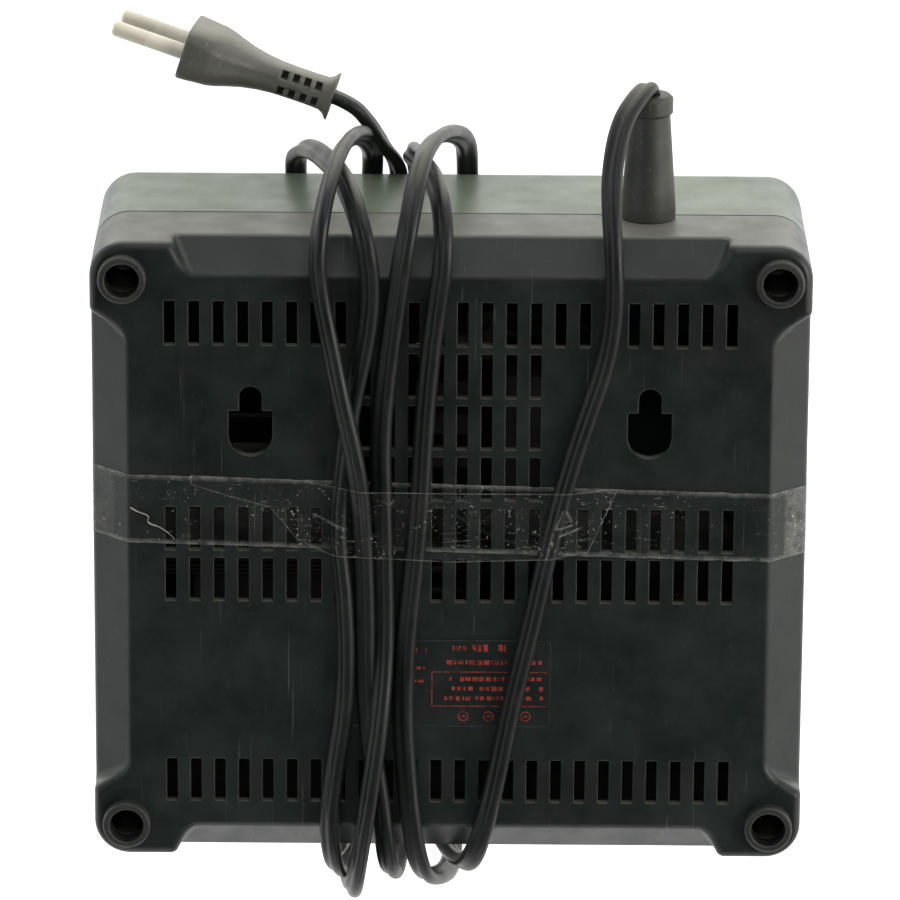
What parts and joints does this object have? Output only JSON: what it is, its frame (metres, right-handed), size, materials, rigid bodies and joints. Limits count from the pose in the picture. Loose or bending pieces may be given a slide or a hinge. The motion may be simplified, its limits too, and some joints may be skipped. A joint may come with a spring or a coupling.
{
  "type": "fence energizer",
  "caption": "Mains energizer or charger case with a vented back, keyholes, rubber feet, side strain relief and a long lead wound round it.",
  "frame": {"origin": "centre of the front's resting plane, under the middle of the case", "axes": "+Z out of the vented back, +X across the case to the right seen from the back with the lead's side up, +Y towards the side where the lead leaves"},
  "size_m": [0.181, 0.2247, 0.0816],
  "materials": {
    "housing_black": "fine textured black moulding, dusty",
    "cover_green": "satin dark green moulding, dusty and faded",
    "foot_rubber": "worn black rubber",
    "lead_black": "satin black flexible PVC, dusty",
    "relief_black": "matt black rubber, dusty",
    "screw_steel": "zinc plated",
    "plug_black": "matt black moulded PVC",
    "pin_nickel": "nickel plated brass",
    "sleeve_white": "off white insulating sleeve",
    "tape_clear": "clear packing tape, wrinkled",
    "plate_black": "black foil with worn red print",
    "board_green": "solder mask",
    "core_steel": "varnished laminations",
    "coil_copper": "enamelled wire under tape",
    "bobbin_white": "natural nylon",
    "capacitor_blue": "sleeved can",
    "capacitor_grey": "film capacitor box",
    "heat_sink_aluminium": "extruded",
    "chip_black": "epoxy",
    "resistor_white": "cement body",
    "fuse_glass": "glass tube",
    "clip_brass": "tinned",
    "block_grey": "terminal block",
    "stud_brass": "turned",
    "knob_red": "moulded",
    "knob_black": "moulded",
    "switch_black": "moulded",
    "lens_amber": "tinted lens",
    "led_red": "epoxy dome",
    "wire_brown": "PVC",
    "wire_blue": "PVC",
    "wire_red": "PVC",
    "wire_green": "PVC"
  },
  "bodies": {
    "case": {"back_housing": "housing_black", "board_screws": "screw_steel", "case_screws": "screw_steel", "charge_resistors": "resistor_white", "circuit_board": "board_green", "clamp_screws": "screw_steel", "control_chip": "chip_black", "earth_nut": "screw_steel", "earth_stud": "stud_brass", "earth_wire": "wire_green", "fence_nut": "screw_steel", "fence_stud": "stud_brass", "fence_wire": "wire_red", "front_cover": "cover_green", "fuse_clips": "clip_brass", "heat_sink": "heat_sink_aluminium", "indicator_led": "led_red", "lamp_lens": "lens_amber", "lead_clamp": "block_grey", "lead_end_inside": "lead_black", "live_wire": "wire_brown", "mains_fuse": "fuse_glass", "neutral_wire": "wire_blue", "pin_sleeves": "sleeve_white", "plug_body": "plug_black", "plug_pins": "pin_nickel", "power_lead_1": "lead_black", "power_lead_2": "lead_black", "power_lead_3": "lead_black", "power_lead_4": "lead_black", "power_lead_5": "lead_black", "power_lead_6": "lead_black", "rating_plate": "plate_black", "rectifier_diodes": "chip_black", "ring_lugs": "clip_brass", "rocker_pin": "screw_steel", "rubber_feet": "foot_rubber", "smoothing_capacitors": "capacitor_blue", "storage_capacitor": "capacitor_grey", "strain_relief": "relief_black", "switch_body": "switch_black", "switched_wire": "wire_brown", "tape_band": "tape_clear", "tape_over": "tape_clear", "terminal_block": "block_grey", "thyristor": "chip_black", "transformer_bobbin": "bobbin_white", "transformer_bracket": "screw_steel", "transformer_coil": "coil_copper", "transformer_core": "core_steel", "transformer_screws": "screw_steel"},
    "fence_washer": {"fence_washer": "screw_steel"},
    "fence_knob": {"fence_knob": "knob_red"},
    "earth_washer": {"earth_washer": "screw_steel"},
    "earth_knob": {"earth_knob": "knob_black"},
    "rocker": {"switch_rocker": "knob_red"}
  },
  "joints": [
    {"name": "fence_washer_slide", "type": "slide", "parent": "case", "child": "fence_washer", "axis": [0, 0, -1], "range_m": [0, 0.003]},
    {"name": "fence_knob_turn", "type": "hinge", "parent": "fence_washer", "child": "fence_knob", "pos_m": [0.061, -0.03, 0.0135], "axis": [0, 0, -1], "range_deg": [0, 1080]},
    {"name": "earth_washer_slide", "type": "slide", "parent": "case", "child": "earth_washer", "axis": [0, 0, -1], "range_m": [0, 0.003]},
    {"name": "earth_knob_turn", "type": "hinge", "parent": "earth_washer", "child": "earth_knob", "pos_m": [0.061, -0.004, 0.0135], "axis": [0, 0, -1], "range_deg": [0, 1080]},
    {"name": "rocker_tilt", "type": "hinge", "parent": "case", "child": "rocker", "pos_m": [0.061, 0.038, 0.0245], "axis": [0, -1, 0], "range_deg": [0, 16]}
  ],
  "couplings": [
    {"joint": "fence_washer_slide", "follows": "fence_knob_turn", "m_per_rad": 0.00015915},
    {"joint": "earth_washer_slide", "follows": "earth_knob_turn", "m_per_rad": 0.00015915}
  ]
}
